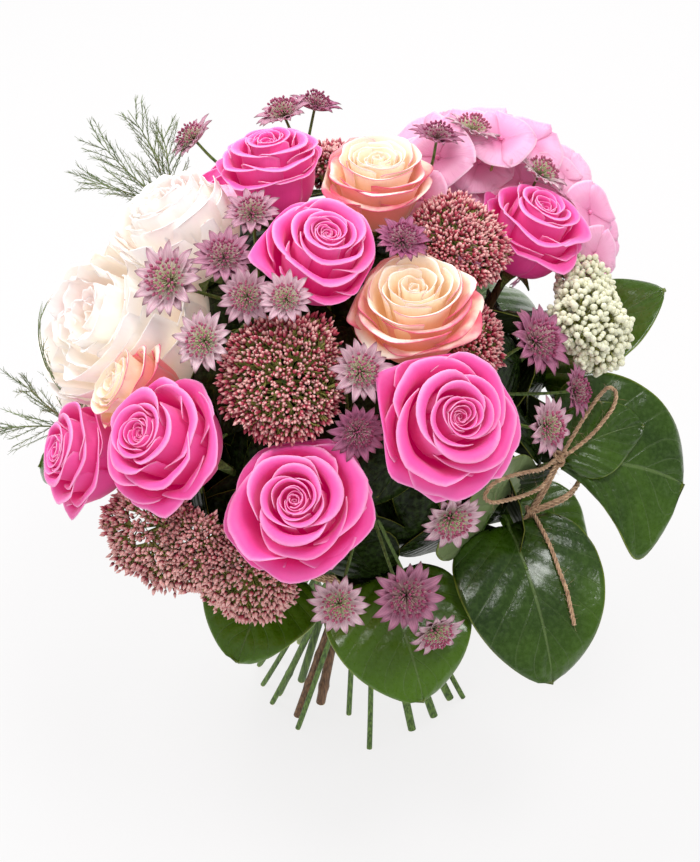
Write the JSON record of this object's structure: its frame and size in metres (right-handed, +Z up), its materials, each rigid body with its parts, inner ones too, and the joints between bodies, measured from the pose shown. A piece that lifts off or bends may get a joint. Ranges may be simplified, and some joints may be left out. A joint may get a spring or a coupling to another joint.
{
  "type": "hand-tied bunch of roses",
  "caption": "Round hand-tied bouquet of pink and cream roses with peonies, hydrangeas and fillers in a leaf collar, standing on its splayed cut stems.",
  "frame": {"origin": "the cut end of the middle stem, on the surface that the bunch stands on", "axes": "+Z up through the bunch; -Y is the front seen in the picture; +X to the viewer's right"},
  "size_m": [0.3784, 0.3187, 0.3962],
  "materials": {
    "pink_petal": "velvety pink rose petals, paler along their rims",
    "cream_petal": "cream to peach rose petals with pink edges",
    "blush_petal": "soft blush white peony petals, creamy inside, some with red flecks at the edge",
    "hydrangea_sepal": "pale pink papery sepals with fine veins",
    "stonecrop_bud": "dusky pink starry buds on green branching stalks",
    "rice_flower_bead": "off-white papery round buds",
    "masterwort_bract": "mauve papery pointed bracts round a pale green and pink cushion",
    "stalk": "green to woody brown cut stems, satin",
    "leaf": "glossy deep green leaf with paler veins",
    "fern": "fine grey-green fern, matte",
    "jute_twine": "twisted natural jute, matte and hairy"
  },
  "bodies": {
    "root": {"rose_pink_1_bloom": "pink_petal", "rose_pink_1_stem": "stalk", "rose_pink_2_bloom": "pink_petal", "rose_pink_2_stem": "stalk", "rose_pink_3_bloom": "pink_petal", "rose_pink_3_stem": "stalk", "rose_pink_4_bloom": "pink_petal", "rose_pink_4_stem": "stalk", "rose_pink_5_bloom": "pink_petal", "rose_pink_5_stem": "stalk", "rose_pink_6_bloom": "pink_petal", "rose_pink_6_stem": "stalk", "rose_pink_7_bloom": "pink_petal", "rose_pink_7_stem": "stalk", "rose_pink_8_bloom": "pink_petal", "rose_pink_8_stem": "stalk", "rose_cream_1_bloom": "cream_petal", "rose_cream_1_stem": "stalk", "rose_cream_2_bloom": "cream_petal", "rose_cream_2_stem": "stalk", "rose_cream_3_bloom": "cream_petal", "rose_cream_3_stem": "stalk", "rose_cream_4_bloom": "cream_petal", "rose_cream_4_stem": "stalk", "peony_1_bloom": "blush_petal", "peony_1_stem": "stalk", "peony_2_bloom": "blush_petal", "peony_2_stem": "stalk", "hydrangea_1_head": "hydrangea_sepal", "hydrangea_1_stem": "stalk", "hydrangea_2_head": "hydrangea_sepal", "hydrangea_2_stem": "stalk", "stonecrop_1": "stonecrop_bud", "stonecrop_2": "stonecrop_bud", "stonecrop_3": "stonecrop_bud", "stonecrop_4": "stonecrop_bud", "rice_flower": "rice_flower_bead", "masterwort_1": "masterwort_bract", "masterwort_2": "masterwort_bract", "masterwort_3": "masterwort_bract", "masterwort_4": "masterwort_bract", "masterwort_5": "masterwort_bract", "masterwort_6": "masterwort_bract", "leaf_1": "leaf", "leaf_2": "leaf", "leaf_3": "leaf", "leaf_4": "leaf", "leaf_5": "leaf", "leaf_6": "leaf", "leaf_7": "leaf", "leaf_8": "leaf", "leaf_9": "leaf", "leaf_10": "leaf", "fern_1": "fern", "fern_2": "fern", "stem_tie": "jute_twine", "cuff_twine": "jute_twine", "bow_loop_left": "jute_twine", "bow_loop_right": "jute_twine", "tail_long": "jute_twine"}
  },
  "joints": []
}
